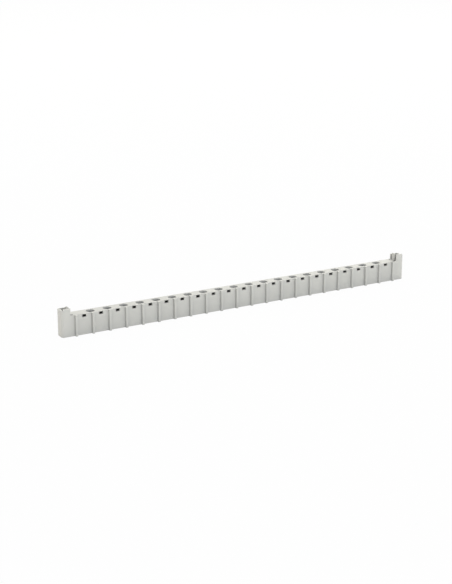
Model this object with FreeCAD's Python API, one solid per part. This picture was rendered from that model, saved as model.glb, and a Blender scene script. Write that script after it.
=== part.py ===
import FreeCAD, Part
import os

# Touch-safe screw jumper bar for a row of terminal blocks, in millimetres.
# A moulded housing carries one metal bus strip along its open underside and one
# captive screw over each pole. X runs along the bar, -Y is the ribbed front, +Z is
# up, and the origin is the middle of the box at the plane the bar stands on.

# Row of poles
pole_pitch = 8.0
pole_count = 20

# Captive screws, shown raised as delivered
thread_diameter = 2.0
head_diameter = 3.7
head_height = 1.3
head_clearance = 0.1
driver_slot_width = 0.5
driver_slot_depth = 0.65
tip_recess = 0.15

# Moulded body: the walls stand round a row of cells, one for each screw head
body_height = 9.45
front_wall = 0.6
back_wall = 0.75
deck_thickness = 0.9
cross_wall = 0.6
side_clearance = 0.075
end_clearance = 0.15

# Nibs on the cross walls, which the raised heads rest on
nib_overlap = 0.25
nib_height = 0.6
nib_width = 1.2

# Vertical ribs on the front, one at each pole and one past each end pole
rib_width = 1.0
rib_projection = 1.15
rib_edge_chamfer = 0.15

# Inspection windows in the front wall, midway between the ribs
window_width = 1.9
window_height = 1.2
window_top_skin = 0.28

# Driver holes in the deck: a round hole with its two sides flattened
driver_hole_length = 3.9
driver_hole_width = 3.4

# End blocks: thin walls round a pocket, the inner one cut to a tongue by two slots
end_reach = 6.45
block_length = 4.1
block_height = 12.7
block_end_wall = 0.8
block_front_wall = 0.5
block_back_wall = 0.55
end_rim_drop = 0.65
back_rim_drop = 0.75
tongue_thickness = 0.6
front_slot_width = 1.2
back_slot_width = 0.8
slot_depth_below_deck = 0.5
slot_run_past_block = 1.4
slot_floor_thickness = 1.2
corner_chamfer = 0.65

# Bus strip
strip_thickness = 1.2
strip_clearance = 0.075
strip_overhang = 5.4
strip_hole_clearance = 0.1
strip_corner_radius = 0.6
contact_pad_height = 0.8
contact_pad_size = 3.0

# Barbs that hold the strip up against the cross walls
barb_length = 1.6
barb_reach = 0.25
barb_gap = 0.05
barb_foot = 0.1

# Places that follow from the sizes
channel_width = head_diameter + 2 * side_clearance
cell_length = head_diameter + 2 * end_clearance
pocket_length = pole_pitch - cell_length - 2 * cross_wall
body_depth = front_wall + channel_width + back_wall

front_y = (rib_projection - body_depth) / 2
back_y = front_y + body_depth
channel_y = (front_y + front_wall, back_y - back_wall)
pole_y = sum(channel_y) / 2
pole_span = (pole_count - 1) * pole_pitch
rib_span = pole_span + 2 * pole_pitch
end_x = rib_span / 2 + end_reach
block_inner_x = end_x - block_length

deck_underside = body_height - deck_thickness
head_seat = deck_underside - head_clearance - head_height
slot_floor = body_height - slot_depth_below_deck
core_top = slot_floor - slot_floor_thickness

strip_bottom = contact_pad_height
strip_top = strip_bottom + strip_thickness
strip_end_x = pole_span / 2 + strip_overhang
channel_top = strip_top + strip_clearance
channel_end_x = strip_end_x + strip_clearance

# Cutters reach this far past the faces they open
through = 1.0

pole_places = [(n * pole_pitch) - pole_span / 2 for n in range(pole_count)]
rib_places = [(n * pole_pitch) - rib_span / 2 for n in range(pole_count + 2)]
window_places = [(n * pole_pitch) + (pole_pitch - rib_span) / 2 for n in range(pole_count + 1)]


def vec(x, y, z):
    return FreeCAD.Vector(x, y, z)


def block(x_range, y_range, z_range):
    """Box between two corners, given as a low and a high value along each axis."""
    size = [high - low for low, high in (x_range, y_range, z_range)]
    return Part.makeBox(*size, vec(x_range[0], y_range[0], z_range[0]))


def prism(points, travel):
    """Flat outline of points pushed along the vector travel."""
    return Part.Face(Part.makePolygon(points + points[:1])).extrude(travel)


def upright(diameter, x, z_range):
    """Upright cylinder on the line of the poles."""
    low, high = z_range
    return Part.makeCylinder(diameter / 2, high - low, vec(x, pole_y, low))


def edges_along_z(shape, x_values, y_values):
    """Vertical edges that stand at one of x_values and one of y_values."""
    found = []
    for edge in shape.Edges:
        start = edge.Vertexes[0].Point
        end = edge.Vertexes[-1].Point
        is_vertical = abs(start.x - end.x) < 1e-6 and abs(start.y - end.y) < 1e-6
        at_x = any(abs(start.x - x) < 1e-6 for x in x_values)
        at_y = any(abs(start.y - y) < 1e-6 for y in y_values)
        if is_vertical and at_x and at_y:
            found.append(edge)
    return found


def mirrored(shape):
    """The same form at the other end of the bar."""
    return shape.mirror(vec(0, 0, 0), vec(1, 0, 0))


# Insulating housing

def housing_blank():
    """Front view of the bar with its raised ends, pushed through its depth."""
    outline = [
        vec(-end_x, front_y, 0), vec(end_x, front_y, 0),
        vec(end_x, front_y, block_height), vec(block_inner_x, front_y, block_height),
        vec(block_inner_x, front_y, body_height), vec(-block_inner_x, front_y, body_height),
        vec(-block_inner_x, front_y, block_height), vec(-end_x, front_y, block_height),
    ]
    blank = prism(outline, vec(0, body_depth, 0))
    corners = edges_along_z(blank, (-end_x, end_x), (front_y, back_y))
    return blank.makeChamfer(corner_chamfer, corners)


def front_rib(x):
    """Upright fin that stands out of the front wall, its two front edges broken."""
    sides = (x - rib_width / 2, x + rib_width / 2)
    nose_y = front_y - rib_projection
    rib = block(sides, (nose_y, front_y + front_wall / 2), (0, body_height))
    return rib.makeChamfer(rib_edge_chamfer, edges_along_z(rib, sides, [nose_y]))


def strip_channel():
    """Open channel along the underside that takes the bus strip."""
    return block((-channel_end_x, channel_end_x), channel_y, (-through, channel_top))


def core_pocket(x_low, x_high, top):
    """Cored pocket, open below, as deep across the bar as the strip channel."""
    return block((x_low, x_high), channel_y, (-through, top))


def driver_hole(x):
    """Hole in the deck for a driver blade: round ends between two flat sides."""
    height = (deck_underside, body_height + through)
    half_x = driver_hole_length
    half_y = driver_hole_width / 2
    slab = block((x - half_x, x + half_x), (pole_y - half_y, pole_y + half_y), height)
    return upright(driver_hole_length, x, height).common(slab)


def window(x):
    """Window in the front wall whose head slopes down to the pocket's ceiling."""
    left = x - window_width / 2
    top = body_height - window_top_skin
    bottom = top - window_height
    outline = [vec(left, front_y - through, top), vec(left, front_y, top),
               vec(left, pole_y, deck_underside), vec(left, pole_y, bottom),
               vec(left, front_y - through, bottom)]
    return prism(outline, vec(window_width, 0, 0))


def end_groove():
    """Pocket in the right end block, the slots beside its tongue and its lowered rims."""
    pocket_low = block_inner_x + tongue_thickness
    pocket_high = end_x - block_end_wall
    y_low = front_y + block_front_wall
    y_high = back_y - block_back_wall
    z_range = (slot_floor, block_height + through)
    slot_low = block_inner_x - slot_run_past_block
    pocket = block((pocket_low, pocket_high), (y_low, y_high), z_range)
    front_slot = block((slot_low, pocket_high), (y_low, y_low + front_slot_width), z_range)
    back_slot = block((slot_low, pocket_high), (y_high - back_slot_width, y_high), z_range)
    end_rim = block((pocket_high, end_x + through), (front_y - through, back_y + through),
                    (block_height - end_rim_drop, block_height + through))
    back_rim = block((block_inner_x - through, end_x + through), (y_high, back_y + through),
                     (block_height - back_rim_drop, block_height + through))
    return [pocket, front_slot, back_slot, end_rim, back_rim]


def end_cores():
    """Cored pockets under the right end, either side of a wall under the block's step."""
    first = window_places[-1] + pocket_length / 2 + cross_wall
    step = block_inner_x
    last = end_x - block_end_wall
    return [core_pocket(first, step - cross_wall / 2, core_top),
            core_pocket(step + cross_wall / 2, last, core_top)]


def head_nib(x, side):
    """Nib on the left (side -1) or right cross wall of a cell: flat on top, sloped below."""
    wall_x = x + side * cell_length / 2
    root_x = wall_x + side * cross_wall / 2
    tip_x = x + side * (head_diameter / 2 - nib_overlap)
    low_y = pole_y - nib_width / 2
    foot = head_seat - nib_height
    outline = [vec(root_x, low_y, head_seat), vec(tip_x, low_y, head_seat),
               vec(wall_x, low_y, foot), vec(root_x, low_y, foot)]
    return prism(outline, vec(0, nib_width, 0))


def strip_barb(x, side):
    """Wedge under the strip's edge, on the front wall (side -1) or the back wall (side 1)."""
    wall_y = pole_y + side * channel_width / 2
    root_y = wall_y + side * front_wall / 2
    tip_y = wall_y - side * barb_reach
    top = strip_bottom - barb_gap
    left = x - barb_length / 2
    outline = [vec(left, root_y, top), vec(left, tip_y, top),
               vec(left, wall_y, barb_foot), vec(left, root_y, barb_foot)]
    return prism(outline, vec(barb_length, 0, 0))


def insulating_housing():
    """One moulding: ribbed body, screw cells, cored pockets, windows and end blocks."""
    body = housing_blank().fuse([front_rib(x) for x in rib_places])
    cutters = [strip_channel()]
    for x in pole_places:
        cutters.append(core_pocket(x - cell_length / 2, x + cell_length / 2, deck_underside))
        cutters.append(driver_hole(x))
    for x in window_places:
        cutters.append(core_pocket(x - pocket_length / 2, x + pocket_length / 2, deck_underside))
        cutters.append(window(x))
    for cutter in end_groove() + end_cores():
        cutters.append(cutter)
        cutters.append(mirrored(cutter))
    body = body.cut(cutters)
    nibs = [head_nib(x, side) for x in pole_places for side in (-1, 1)]
    barbs = [strip_barb(x, side) for x in window_places for side in (-1, 1)]
    return body.fuse(nibs + barbs).removeSplitter()


# Bus strip

def bus_strip():
    """Stamped strip with a square contact pad and a clearance hole at each pole."""
    half_y = channel_width / 2 - strip_clearance
    ends = (-strip_end_x, strip_end_x)
    sides = (pole_y - half_y, pole_y + half_y)
    strip = block(ends, sides, (strip_bottom, strip_top))
    strip = strip.makeFillet(strip_corner_radius, edges_along_z(strip, ends, sides))
    half_pad = contact_pad_size / 2
    pads = []
    holes = []
    for x in pole_places:
        pads.append(block((x - half_pad, x + half_pad), (pole_y - half_pad, pole_y + half_pad),
                          (0, strip_top)))
        holes.append(upright(thread_diameter + 2 * strip_hole_clearance, x,
                             (-through, strip_top + through)))
    return strip.fuse(pads).cut(holes).removeSplitter()


# Captive screws

def pole_screw(x):
    """Slotted cylinder-head screw held up under the deck, its tip inside the strip."""
    head_top = head_seat + head_height
    head = upright(head_diameter, x, (head_seat, head_top))
    shank = upright(thread_diameter, x, (tip_recess, head_seat))
    half = driver_slot_width / 2
    slot = block((x - head_diameter, x + head_diameter), (pole_y - half, pole_y + half),
                 (head_top - driver_slot_depth, head_top + through))
    return head.fuse(shank).cut(slot).removeSplitter()


def build():
    """All the pieces by name."""
    pieces = {"insulating_housing": insulating_housing(), "bus_strip": bus_strip()}
    for number, x in enumerate(pole_places, start=1):
        pieces["pole_screw_%02d" % number] = pole_screw(x)
    return pieces


def main():
    """Write each piece to its own file."""
    os.makedirs("parts", exist_ok=True)
    for name, shape in build().items():
        if shape.ShapeType == "Compound" and len(shape.Solids) == 1:
            shape = shape.Solids[0]
        shape.exportStep("parts/" + name + ".step")
        print(name, "solids", len(shape.Solids), "valid", shape.isValid(), "volume", round(shape.Volume, 3))


main()
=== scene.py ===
"""Looks of a touch-safe screw jumper bar for terminal blocks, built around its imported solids.

Lengths are in metres, unless a name ends in _mm. X runs along the row of poles, -Y is the
ribbed front with the windows, and +Z is up.
"""

import logging
import math
from collections.abc import Callable
from dataclasses import dataclass, field
from enum import Enum
from typing import Any

import bpy
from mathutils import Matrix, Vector


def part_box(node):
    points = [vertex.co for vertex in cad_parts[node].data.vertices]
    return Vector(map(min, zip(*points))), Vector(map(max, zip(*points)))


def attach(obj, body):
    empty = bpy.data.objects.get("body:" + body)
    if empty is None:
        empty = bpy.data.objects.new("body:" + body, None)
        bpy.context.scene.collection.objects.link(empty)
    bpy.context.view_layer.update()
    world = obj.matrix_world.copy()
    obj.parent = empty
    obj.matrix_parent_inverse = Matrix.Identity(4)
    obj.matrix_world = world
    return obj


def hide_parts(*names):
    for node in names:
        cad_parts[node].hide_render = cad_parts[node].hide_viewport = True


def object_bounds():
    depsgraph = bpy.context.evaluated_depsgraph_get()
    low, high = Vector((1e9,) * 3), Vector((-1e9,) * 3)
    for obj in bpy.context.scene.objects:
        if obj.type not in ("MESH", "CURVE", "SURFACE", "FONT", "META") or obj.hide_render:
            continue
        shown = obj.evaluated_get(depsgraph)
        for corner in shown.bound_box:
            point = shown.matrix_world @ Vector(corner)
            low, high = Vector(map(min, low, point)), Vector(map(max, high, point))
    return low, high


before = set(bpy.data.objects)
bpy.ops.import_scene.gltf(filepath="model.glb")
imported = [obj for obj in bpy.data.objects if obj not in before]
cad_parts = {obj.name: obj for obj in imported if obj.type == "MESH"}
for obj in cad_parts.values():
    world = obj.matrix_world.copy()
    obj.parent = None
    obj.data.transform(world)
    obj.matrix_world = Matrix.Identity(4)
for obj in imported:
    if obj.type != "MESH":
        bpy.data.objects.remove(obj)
cad_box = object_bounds()

log = logging.getLogger("jumper_bar")

BODY = "root"

# The photograph's frame and the focal length read from its perspective, in pixels
PHOTO_LONG_SIDE_PX = 584
FOCAL_LENGTH_PX = 1400.0
SENSOR_MM = 36.0

# The sRGB standard's top level, and the slope, knee, offset and power of its curve
SRGB_TOP = 255
SRGB_SLOPE = 12.92
SRGB_KNEE = 0.04045
SRGB_OFFSET = 0.055
SRGB_POWER = 2.4

# Sockets that share their names with others on the same node, so they go by number
MATH_A, MATH_B = 0, 1
MIX_A, MIX_B, MIX_COLOUR = 6, 7, 2
BLEND_SHARE, BLEND_A, BLEND_B = 0, 1, 2

# A strength of 1 renders as white
WHITE = (1.0, 1.0, 1.0, 1.0)
WHITE_STRENGTH = 1.0

# Points closer than this are one, and faces that meet at less than the angle shade as one
WELD_MM = 0.001
SMOOTH_ANGLE_DEG = 35
# A face lies level where its normal's height is more than this
LEVEL_NORMAL = 0.9


class ShadeMode(Enum):
    """How a mesh's faces meet in the render."""

    FLAT = "flat"
    BY_ANGLE = "by_angle"


class Combine(Enum):
    """What one closed mesh does to another."""

    CUT = "DIFFERENCE"
    MERGE = "UNION"


def mm(value: float) -> float:
    """Turns millimetres into metres."""
    return value / 1000.0


def linear(code: str) -> tuple[float, float, float, float]:
    """Turns an sRGB hex colour into linear RGBA.

    Args:
        code: Colour as "#RRGGBB".

    Returns:
        Red, green, blue and an alpha of 1.
    """
    shares = [int(code[start:start + 2], 16) / SRGB_TOP for start in (1, 3, 5)]
    red, green, blue = (
        share / SRGB_SLOPE if share <= SRGB_KNEE
        else ((share + SRGB_OFFSET) / (1 + SRGB_OFFSET)) ** SRGB_POWER for share in shares)
    return red, green, blue, 1.0


def add_node(tree: bpy.types.NodeTree, kind: str, inputs: dict[str | int, Any] | None = None,
             **settings: Any) -> bpy.types.Node:
    """Adds a node with its settings and links.

    Args:
        tree: Node tree that takes the node.
        kind: Blender's type name of the node.
        inputs: Value, or socket to link from, for each input by name or number.
        **settings: Values of the node's own properties.

    Returns:
        The new node.
    """
    node = tree.nodes.new(kind)
    for name, value in settings.items():
        setattr(node, name, value)
    for name, value in (inputs or {}).items():
        if isinstance(value, bpy.types.NodeSocket):
            tree.links.new(value, node.inputs[name])
        else:
            node.inputs[name].default_value = value
    return node


def new_material(
        name: str) -> tuple[bpy.types.Material, bpy.types.NodeTree, bpy.types.NodeSocket]:
    """Makes an empty node material.

    Args:
        name: Name of the material.

    Returns:
        The material, its node tree and the surface socket of its output.
    """
    material = bpy.data.materials.new(name)
    material.use_nodes = True
    tree = material.node_tree
    tree.nodes.clear()
    output = add_node(tree, "ShaderNodeOutputMaterial")
    return material, tree, output.inputs["Surface"]


@dataclass(frozen=True)
class MouldedPolyamide:
    """Polyamide 6.6, injection moulded in a spark-eroded tool: pale warm grey and matt."""

    name: str = "polyamide_66_moulded_light_grey"
    colour: str = "#D6D5CF"
    roughness_low: float = 0.50
    roughness_high: float = 0.60
    ior: float = 1.53
    # Melt flow leaves faint clouds about as long as two poles
    flow_colour: str = "#D0CFC8"
    flow_mm: float = 16.0
    flow_detail: float = 2.0
    # The tool's real grain is about 0.05 mm, which no render of the whole bar shows, so it is
    # drawn at 0.2 mm
    grain_mm: float = 0.2
    grain_detail: float = 3.0
    grain_depth_mm: float = 0.004
    grain_strength: float = 0.6
    # Little light comes back out of the cored pockets, whose walls stand about 3.5 mm apart, so
    # their darkness is painted shade. A place takes the painted pocket shade where its open share
    # is below pocket_shut, and none of it from pocket_open on
    painted_pocket_shade_colour: str = "#1A1A19"
    pocket_reach_mm: float = 3.5
    pocket_shut: float = 0.17
    pocket_open: float = 0.25
    pocket_samples: int = 8
    # Painted shade: half-open places, such as the corners beside the ribs, darken towards this
    # colour
    corner_shade_colour: str = "#C1C1BE"

    def material(self) -> bpy.types.Material:
        """Builds the finish's nodes.

        Returns:
            The node material.
        """
        material, tree, surface = new_material(self.name)
        place = add_node(tree, "ShaderNodeTexCoord").outputs["Object"]
        flow = add_node(tree, "ShaderNodeTexNoise", {
            "Vector": place, "Scale": 1 / mm(self.flow_mm), "Detail": self.flow_detail})
        grain = add_node(tree, "ShaderNodeTexNoise", {
            "Vector": place, "Scale": 1 / mm(self.grain_mm), "Detail": self.grain_detail})
        cloud = add_node(tree, "ShaderNodeMix", {
            "Factor": flow.outputs["Fac"], MIX_A: linear(self.colour),
            MIX_B: linear(self.flow_colour)}, data_type="RGBA")
        open_share = add_node(tree, "ShaderNodeAmbientOcclusion", {
            "Distance": mm(self.pocket_reach_mm)}, samples=self.pocket_samples, only_local=True)
        # Painted shade in corners and holes: the less open a place, the nearer its colour to the
        # corner shade
        corner = add_node(tree, "ShaderNodeMapRange", {
            "Value": open_share.outputs["AO"], "From Min": self.pocket_open, "From Max": 1.0})
        flow_and_corner_shade = add_node(tree, "ShaderNodeMix", {
            "Factor": corner.outputs["Result"], MIX_A: linear(self.corner_shade_colour),
            MIX_B: cloud.outputs[MIX_COLOUR]}, data_type="RGBA")
        # Painted shade: the less open a place inside the cored pockets, the nearer it goes to near
        # black
        inside = add_node(tree, "ShaderNodeMapRange", {
            "Value": open_share.outputs["AO"], "From Min": self.pocket_shut,
            "From Max": self.pocket_open})
        shade = add_node(tree, "ShaderNodeMix", {
            "Factor": inside.outputs["Result"], MIX_A: linear(self.painted_pocket_shade_colour),
            MIX_B: flow_and_corner_shade.outputs[MIX_COLOUR]}, data_type="RGBA")
        rough = add_node(tree, "ShaderNodeMapRange", {
            "Value": grain.outputs["Fac"], "To Min": self.roughness_low,
            "To Max": self.roughness_high})
        bump = add_node(tree, "ShaderNodeBump", {
            "Height": grain.outputs["Fac"], "Strength": self.grain_strength,
            "Distance": mm(self.grain_depth_mm)})
        shader = add_node(tree, "ShaderNodeBsdfPrincipled", {
            "Base Color": shade.outputs[MIX_COLOUR], "Roughness": rough.outputs["Result"],
            "IOR": self.ior, "Normal": bump.outputs["Normal"]})
        tree.links.new(shader.outputs["BSDF"], surface)
        return material


@dataclass(frozen=True)
class TinPlate:
    """Brass strip, stamped and then tin plated: a soft white metal with drawing lines along it."""

    name: str = "brass_strip_tin_plated"
    colour: str = "#C9C7C0"
    stained_colour: str = "#B4AFA3"
    roughness_low: float = 0.26
    roughness_high: float = 0.44
    # Rolling lines run along the strip, about 0.08 mm apart and 6 mm long, drawn at twice that
    # width to show
    line_width_mm: float = 0.16
    line_length_mm: float = 6.0
    line_detail: float = 3.0
    line_depth_mm: float = 0.003
    line_strength: float = 0.5

    def material(self) -> bpy.types.Material:
        """Builds the finish's nodes.

        Returns:
            The node material.
        """
        material, tree, surface = new_material(self.name)
        place = add_node(tree, "ShaderNodeTexCoord").outputs["Object"]
        across = 1 / mm(self.line_width_mm)
        along = add_node(tree, "ShaderNodeMapping", {
            "Vector": place, "Scale": Vector((1 / mm(self.line_length_mm), across, across))})
        lines = add_node(tree, "ShaderNodeTexNoise", {
            "Vector": along.outputs["Vector"], "Scale": 1.0, "Detail": self.line_detail})
        stain = add_node(tree, "ShaderNodeTexNoise", {
            "Vector": place, "Scale": 1 / mm(self.line_length_mm)})
        tone = add_node(tree, "ShaderNodeMix", {
            "Factor": stain.outputs["Fac"], MIX_A: linear(self.colour),
            MIX_B: linear(self.stained_colour)}, data_type="RGBA")
        rough = add_node(tree, "ShaderNodeMapRange", {
            "Value": lines.outputs["Fac"], "To Min": self.roughness_low,
            "To Max": self.roughness_high})
        bump = add_node(tree, "ShaderNodeBump", {
            "Height": lines.outputs["Fac"], "Strength": self.line_strength,
            "Distance": mm(self.line_depth_mm)})
        shader = add_node(tree, "ShaderNodeBsdfPrincipled", {
            "Base Color": tone.outputs[MIX_COLOUR], "Metallic": 1.0,
            "Roughness": rough.outputs["Result"], "Normal": bump.outputs["Normal"]})
        tree.links.new(shader.outputs["BSDF"], surface)
        return material


@dataclass(frozen=True)
class ZincPlatedSteel:
    """Turned steel, bright zinc plated: a cool grey metal with a faint spangle."""

    name: str = "steel_turned_zinc_plated"
    colour: str = "#BFC3C7"
    dull_colour: str = "#A3A7AB"
    roughness_low: float = 0.22
    roughness_high: float = 0.38
    # Plating spangle is about 0.3 mm across
    spangle_mm: float = 0.3
    spangle_depth_mm: float = 0.002
    spangle_strength: float = 0.4
    cloud_detail: float = 4.0

    def material(self) -> bpy.types.Material:
        """Builds the finish's nodes.

        Returns:
            The node material.
        """
        material, tree, surface = new_material(self.name)
        place = add_node(tree, "ShaderNodeTexCoord").outputs["Object"]
        spangle = add_node(tree, "ShaderNodeTexVoronoi", {
            "Vector": place, "Scale": 1 / mm(self.spangle_mm)})
        cloud = add_node(tree, "ShaderNodeTexNoise", {
            "Vector": place, "Scale": 1 / mm(self.spangle_mm), "Detail": self.cloud_detail})
        tone = add_node(tree, "ShaderNodeMix", {
            "Factor": cloud.outputs["Fac"], MIX_A: linear(self.colour),
            MIX_B: linear(self.dull_colour)}, data_type="RGBA")
        rough = add_node(tree, "ShaderNodeMapRange", {
            "Value": cloud.outputs["Fac"], "To Min": self.roughness_low,
            "To Max": self.roughness_high})
        bump = add_node(tree, "ShaderNodeBump", {
            "Height": spangle.outputs["Distance"], "Strength": self.spangle_strength,
            "Distance": mm(self.spangle_depth_mm)})
        shader = add_node(tree, "ShaderNodeBsdfPrincipled", {
            "Base Color": tone.outputs[MIX_COLOUR], "Metallic": 1.0,
            "Roughness": rough.outputs["Result"], "Normal": bump.outputs["Normal"]})
        tree.links.new(shader.outputs["BSDF"], surface)
        return material


@dataclass(frozen=True)
class StudioPaper:
    """Seamless white studio paper, which the camera sees as white with a faint shadow."""

    name: str = "studio_paper_white"
    colour: str = "#F4F4F2"
    roughness_low: float = 0.85
    roughness_high: float = 0.95
    # Wood fibres in paper are up to about 2.5 mm long
    fibre_mm: float = 2.5
    # The camera sees this share of plain white, and the lit paper with the shadow in the rest
    seen_white: float = 0.97

    def material(self) -> bpy.types.Material:
        """Builds the finish's nodes.

        Returns:
            The node material.
        """
        material, tree, surface = new_material(self.name)
        place = add_node(tree, "ShaderNodeTexCoord").outputs["Object"]
        fibre = add_node(tree, "ShaderNodeTexNoise", {
            "Vector": place, "Scale": 1 / mm(self.fibre_mm)})
        rough = add_node(tree, "ShaderNodeMapRange", {
            "Value": fibre.outputs["Fac"], "To Min": self.roughness_low,
            "To Max": self.roughness_high})
        paper = add_node(tree, "ShaderNodeBsdfDiffuse", {
            "Color": linear(self.colour), "Roughness": rough.outputs["Result"]})
        glow = add_node(tree, "ShaderNodeEmission", {"Color": WHITE, "Strength": WHITE_STRENGTH})
        ray = add_node(tree, "ShaderNodeLightPath")
        seen = ray.outputs["Is Camera Ray"]
        for kind in ("Is Glossy Ray", "Is Transmission Ray"):
            seen = add_node(tree, "ShaderNodeMath", {
                MATH_A: seen, MATH_B: ray.outputs[kind]}, operation="MAXIMUM").outputs["Value"]
        share = add_node(tree, "ShaderNodeMath", {
            MATH_A: seen, MATH_B: self.seen_white}, operation="MULTIPLY")
        mixed = add_node(tree, "ShaderNodeMixShader", {
            BLEND_SHARE: share.outputs["Value"], BLEND_A: paper.outputs["BSDF"],
            BLEND_B: glow.outputs["Emission"]})
        tree.links.new(mixed.outputs["Shader"], surface)
        return material


def select_none() -> None:
    """Leaves object mode with nothing selected and nothing active."""
    if bpy.context.object is not None and bpy.context.object.mode != "OBJECT":
        bpy.ops.object.mode_set(mode="OBJECT")
    bpy.ops.object.select_all(action="DESELECT")
    bpy.context.view_layer.objects.active = None


def make_active(piece: bpy.types.Object) -> None:
    """Selects one object alone and makes it active.

    Args:
        piece: The object.
    """
    select_none()
    piece.select_set(True)
    bpy.context.view_layer.objects.active = piece


def pick_faces(piece: bpy.types.Object,
               test: Callable[[bpy.types.MeshPolygon], bool]) -> None:
    """Goes into edit mode with only some faces of a mesh selected.

    Args:
        piece: Object whose mesh is edited.
        test: Says of a face whether it is picked.
    """
    make_active(piece)
    bpy.ops.object.mode_set(mode="EDIT")
    bpy.ops.mesh.select_mode(type="FACE")
    bpy.ops.mesh.select_all(action="DESELECT")
    bpy.ops.object.mode_set(mode="OBJECT")
    for face in piece.data.polygons:
        face.select = test(face)
    bpy.ops.object.mode_set(mode="EDIT")


def combine(piece: bpy.types.Object, other: bpy.types.Object, how: Combine) -> None:
    """Cuts a closed mesh out of a piece, or merges it with the piece, and then removes it.

    Args:
        piece: Object that is kept and changed.
        other: Object that cuts or joins it, and goes.
        how: What the other object does to the piece.
    """
    make_active(piece)
    step = piece.modifiers.new(other.name, "BOOLEAN")
    step.operation = how.value
    step.solver = "EXACT"
    step.object = other
    bpy.ops.object.modifier_apply(modifier=step.name)
    bpy.data.objects.remove(other)


def finish_mesh(piece: bpy.types.Object, shade: ShadeMode) -> None:
    """Puts a piece's place into its mesh, points its faces outwards and shades it.

    Args:
        piece: Object to finish.
        shade: How its faces meet.
    """
    make_active(piece)
    bpy.ops.object.transform_apply(location=True, rotation=True, scale=True)
    bpy.ops.object.mode_set(mode="EDIT")
    bpy.ops.mesh.select_all(action="SELECT")
    bpy.ops.mesh.remove_doubles(threshold=mm(WELD_MM))
    bpy.ops.mesh.normals_make_consistent(inside=False)
    bpy.ops.object.mode_set(mode="OBJECT")
    if shade is ShadeMode.BY_ANGLE:
        bpy.ops.object.shade_smooth_by_angle(angle=math.radians(SMOOTH_ANGLE_DEG))
    else:
        bpy.ops.object.shade_flat()


def twin(pattern: bpy.types.Object) -> bpy.types.Object:
    """Copies a piece, with a mesh of its own.

    Args:
        pattern: The piece to copy.

    Returns:
        The copy.
    """
    copied = pattern.copy()
    copied.data = pattern.data.copy()
    bpy.context.scene.collection.objects.link(copied)
    return copied


def dress(piece: bpy.types.Object, material: bpy.types.Material) -> None:
    """Gives a piece one material in all its slots."""
    piece.data.materials.clear()
    piece.data.materials.append(material)


def dress_node(name: str, material: bpy.types.Material) -> bpy.types.Object:
    """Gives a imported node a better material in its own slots.

    Args:
        name: Name of the node.
        material: Finish for all its slots.

    Returns:
        The node's object.
    """
    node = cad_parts[name]
    for slot in node.material_slots:
        slot.link = "OBJECT"
        slot.material = material
    return node


def count_triangles(piece: bpy.types.Object) -> int:
    """Counts a mesh's faces as triangles."""
    return sum(len(face.vertices) - 2 for face in piece.data.polygons)


@dataclass
class Housing:
    """The moulded housing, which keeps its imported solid."""

    node: str = "insulating_housing"
    finish: MouldedPolyamide = field(default_factory=MouldedPolyamide)

    def build(self) -> list[bpy.types.Object]:
        """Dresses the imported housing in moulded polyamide."""
        return [dress_node(self.node, self.finish.material())]


@dataclass
class BusStrip:
    """The metal strip in the open underside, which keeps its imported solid."""

    node: str = "bus_strip"
    finish: TinPlate = field(default_factory=TinPlate)

    def build(self) -> list[bpy.types.Object]:
        """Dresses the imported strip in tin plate."""
        return [dress_node(self.node, self.finish.material())]


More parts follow.
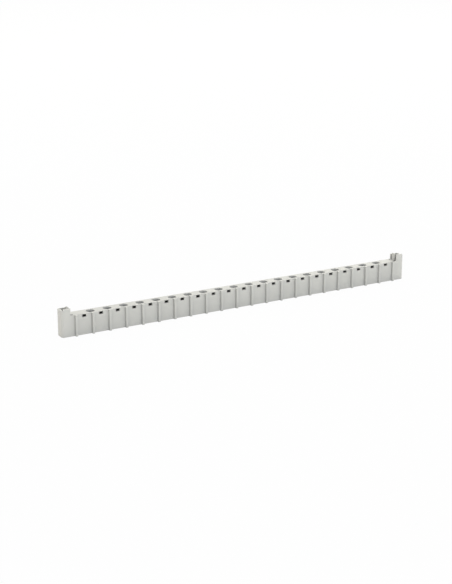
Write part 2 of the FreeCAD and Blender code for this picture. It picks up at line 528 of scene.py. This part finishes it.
@dataclass
class CaptiveScrews:
    """The captive screws: a slotted cylinder head on a threaded shank, one at each pole."""

    node_prefix: str = "pole_screw_"
    piece_prefix: str = "captive_screw_"
    head_height_mm: float = 1.3
    head_edge_mm: float = 0.16
    head_edge_segments: int = 3
    head_segments: int = 48
    slot_width_mm: float = 0.5
    slot_depth_mm: float = 0.65
    thread_diameter_mm: float = 2.0
    thread_pitch_mm: float = 0.4
    thread_depth_mm: float = 0.2
    neck_length_mm: float = 1.2
    tip_length_mm: float = 0.3
    # The shank ends inside the head, at this share of the head's height below its top
    shank_top_share: float = 0.7
    shank_segments: int = 24
    rings_per_turn: int = 6
    finish: ZincPlatedSteel = field(default_factory=ZincPlatedSteel)

    def nodes(self) -> list[str]:
        """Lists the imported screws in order."""
        return sorted(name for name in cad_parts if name.startswith(self.node_prefix))

    def head(self, centre: Vector, radius: float, top: float) -> bpy.types.Object:
        """Models the slotted head.

        Args:
            centre: Any point on the screw's axis.
            radius: Radius of the head.
            top: Height of the head's top face.

        Returns:
            The head as a closed mesh.
        """
        height = mm(self.head_height_mm)
        middle = top - height / 2
        select_none()
        bpy.ops.mesh.primitive_cylinder_add(vertices=self.head_segments, radius=radius,
                                            depth=height, location=(centre.x, centre.y, middle))
        head = bpy.context.object
        finish_mesh(head, ShadeMode.FLAT)
        pick_faces(head, lambda face: abs(face.normal.z) > LEVEL_NORMAL
                   and face.center.z > middle)
        bpy.ops.mesh.bevel(offset=mm(self.head_edge_mm), segments=self.head_edge_segments,
                           affect="EDGES")
        # The cutter is twice as long as the head is wide, and its upper half stands free
        select_none()
        bpy.ops.mesh.primitive_cube_add(
            size=1.0, location=(centre.x, centre.y, top),
            scale=(4 * radius, mm(self.slot_width_mm), 2 * mm(self.slot_depth_mm)))
        cutter = bpy.context.object
        finish_mesh(cutter, ShadeMode.FLAT)
        combine(head, cutter, Combine.CUT)
        return head

    def thread_radius(self, height: float, angle: float, base: float, neck: float) -> float:
        """Gives the shank's radius at a height and an angle, along a right-hand helix.

        Args:
            height: Height of the point.
            angle: Angle about the axis, in radians.
            base: Height of the screw's tip.
            neck: Height where the thread ends under the plain neck.

        Returns:
            The radius there.
        """
        crest = mm(self.thread_diameter_mm) / 2
        depth = mm(self.thread_depth_mm)
        if height > neck:
            return crest - depth
        turn = (height - base) / mm(self.thread_pitch_mm) - angle / (2 * math.pi)
        flank = abs(2 * (turn - math.floor(turn)) - 1)
        tip = max(0.0, 1 - (height - base) / mm(self.tip_length_mm))
        return crest - depth * flank - depth * tip * (1 - flank)

    def shank(self, centre: Vector, low: float, high: float) -> bpy.types.Object:
        """Models the threaded shank: a ring pulled up in steps, then drawn out to the helix.

        Args:
            centre: Any point on the screw's axis.
            low: Height of the tip.
            high: Height inside the head where the shank ends.

        Returns:
            The shank as a closed mesh.
        """
        step = mm(self.thread_pitch_mm) / self.rings_per_turn
        neck = high - mm(self.neck_length_mm)
        rings = round((neck - low) / step)
        select_none()
        bpy.ops.mesh.primitive_circle_add(
            vertices=self.shank_segments, radius=mm(self.thread_diameter_mm) / 2,
            fill_type="NGON", location=(centre.x, centre.y, low))
        shank = bpy.context.object
        make_active(shank)
        bpy.ops.object.transform_apply(location=True, rotation=True, scale=True)
        bpy.ops.object.mode_set(mode="EDIT")
        bpy.ops.mesh.select_all(action="SELECT")
        for rise in [step] * rings + [step, high - neck - step]:
            bpy.ops.mesh.extrude_region_move(
                TRANSFORM_OT_translate={"value": (0.0, 0.0, rise)})
        bpy.ops.object.mode_set(mode="OBJECT")
        for vertex in shank.data.vertices:
            across = Vector((vertex.co.x - centre.x, vertex.co.y - centre.y))
            angle = math.atan2(across.y, across.x)
            radius = self.thread_radius(vertex.co.z, angle, low, neck + step / 2)
            vertex.co.x = centre.x + radius * math.cos(angle)
            vertex.co.y = centre.y + radius * math.sin(angle)
        return shank

    def first(self) -> bpy.types.Object:
        """Models the first screw in full.

        Returns:
            The screw, in the first node's place.
        """
        low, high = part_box(self.nodes()[0])
        centre = (low + high) / 2
        head = self.head(centre, (high.x - low.x) / 2, high.z)
        inside = high.z - mm(self.head_height_mm) * self.shank_top_share
        combine(head, self.shank(centre, low.z, inside), Combine.MERGE)
        finish_mesh(head, ShadeMode.BY_ANGLE)
        return head

    def build(self) -> list[bpy.types.Object]:
        """Models one screw, copies it to every pole and puts each in its node's place.

        Returns:
            The screws in order.
        """
        names = self.nodes()
        material = self.finish.material()
        pattern = self.first()
        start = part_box(names[0])[0].x
        screws = [pattern] + [twin(pattern) for _ in names[1:]]
        for name, screw in zip(names, screws):
            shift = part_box(name)[0].x - start
            for vertex in screw.data.vertices:
                vertex.co.x += shift
            screw.name = name.replace(self.node_prefix, self.piece_prefix)
            dress(screw, material)
            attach(screw, BODY)
            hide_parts(name)
        return screws


def stand_off(data: bpy.types.Camera | bpy.types.Light, azimuth_deg: float,
              elevation_deg: float, distance: float,
              aim: tuple[float, float, float] = (0.0, 0.0, 0.0)) -> bpy.types.Object:
    """Stands a camera or a lamp at a distance from a point, facing it.

    Args:
        data: The camera or lamp.
        azimuth_deg: Its direction about the upright, where 0 is straight before the ribs.
        elevation_deg: Its direction above the level.
        distance: How far it stands from the point.
        aim: The point that it faces.

    Returns:
        The new object.
    """
    turn, rise = math.radians(azimuth_deg), math.radians(elevation_deg)
    away = Vector((math.sin(turn) * math.cos(rise), -math.cos(turn) * math.cos(rise),
                   math.sin(rise)))
    thing = bpy.data.objects.new(data.name, data)
    bpy.context.scene.collection.objects.link(thing)
    thing.location = Vector(aim) + away * distance
    thing.rotation_euler = (-away).to_track_quat("-Z", "Y").to_euler()
    return thing


@dataclass(frozen=True)
class SoftLamp:
    """A square soft lamp that faces the bar from its own direction."""

    name: str
    azimuth_deg: float
    elevation_deg: float
    power: float
    colour: str
    distance: float = 1.3
    size: float = 0.8

    def hang(self) -> None:
        """Hangs the lamp."""
        data = bpy.data.lights.new(self.name, "AREA")
        data.shape = "SQUARE"
        data.size = self.size
        data.energy = self.power
        data.color = linear(self.colour)[:3]
        stand_off(data, self.azimuth_deg, self.elevation_deg, self.distance)


@dataclass
class Studio:
    """White paper floor, soft lamps and the camera at the photograph's viewing angle."""

    # The photograph's viewpoint, as its ribs and edges give it
    azimuth_deg: float = -30.03
    elevation_deg: float = 16.97
    distance: float = 0.63723
    aim: tuple[float, float, float] = (-0.009217, -0.001575, 0.008207)
    nearest_seen: float = 0.01
    farthest_seen: float = 20.0
    floor_half: float = 4.0
    paper: StudioPaper = field(default_factory=StudioPaper)
    sky_colour: str = "#F6F9FF"
    sky_strength: float = 0.57
    lamps: tuple[SoftLamp, ...] = (
        SoftLamp("left", -130, 15, 3.3, "#FFF3E2"),
        SoftLamp("front", 4, 15, 4.7, "#F9FBFF"),
        SoftLamp("right_back", 130, 35, 5.1, "#FFFDF2"),
        SoftLamp("back_top", 170, 50, 5.6, "#FFFDF3"),
    )

    def camera(self) -> None:
        """Sets the camera by its direction and distance from the point it looks at."""
        data = bpy.data.cameras.new("photo_camera")
        data.sensor_width = SENSOR_MM
        data.lens = FOCAL_LENGTH_PX * SENSOR_MM / PHOTO_LONG_SIDE_PX
        data.clip_start, data.clip_end = self.nearest_seen, self.farthest_seen
        bpy.context.scene.camera = stand_off(
            data, self.azimuth_deg, self.elevation_deg, self.distance, self.aim)

    def floor(self) -> None:
        """Lays the paper that the bar stands on."""
        select_none()
        bpy.ops.mesh.primitive_plane_add(size=2 * self.floor_half,
                                         location=(0.0, 0.0, cad_box[0].z))
        floor = bpy.context.object
        floor.name = "studio_floor"
        bpy.ops.object.transform_apply(location=True, rotation=True, scale=True)
        dress(floor, self.paper.material())

    def sky(self) -> None:
        """Makes the even surround: it lights the bar softly, and the camera sees it as white."""
        world = bpy.data.worlds.new("studio_surround")
        bpy.context.scene.world = world
        world.use_nodes = True
        tree = world.node_tree
        tree.nodes.clear()
        ray = add_node(tree, "ShaderNodeLightPath")
        lit = add_node(tree, "ShaderNodeBackground", {
            "Color": linear(self.sky_colour), "Strength": self.sky_strength})
        seen = add_node(tree, "ShaderNodeBackground", {
            "Color": WHITE, "Strength": WHITE_STRENGTH})
        mixed = add_node(tree, "ShaderNodeMixShader", {
            BLEND_SHARE: ray.outputs["Is Camera Ray"], BLEND_A: lit.outputs["Background"],
            BLEND_B: seen.outputs["Background"]})
        add_node(tree, "ShaderNodeOutputWorld", {"Surface": mixed.outputs["Shader"]})

    def build(self) -> None:
        """Sets up the stage, the light and the camera."""
        bpy.context.scene.view_settings.view_transform = "Standard"
        self.sky()
        self.floor()
        for lamp in self.lamps:
            lamp.hang()
        self.camera()


def main() -> None:
    """Builds and reports the bar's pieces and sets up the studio."""
    logging.basicConfig(level=logging.INFO, format="%(name)s %(message)s")
    for assembly in (Housing(), BusStrip(), CaptiveScrews()):
        for piece in assembly.build():
            log.info("%s: %s, %d triangles", piece.name, assembly.finish.name,
                     count_triangles(piece))
    Studio().build()


if __name__ == "__main__":
    main()
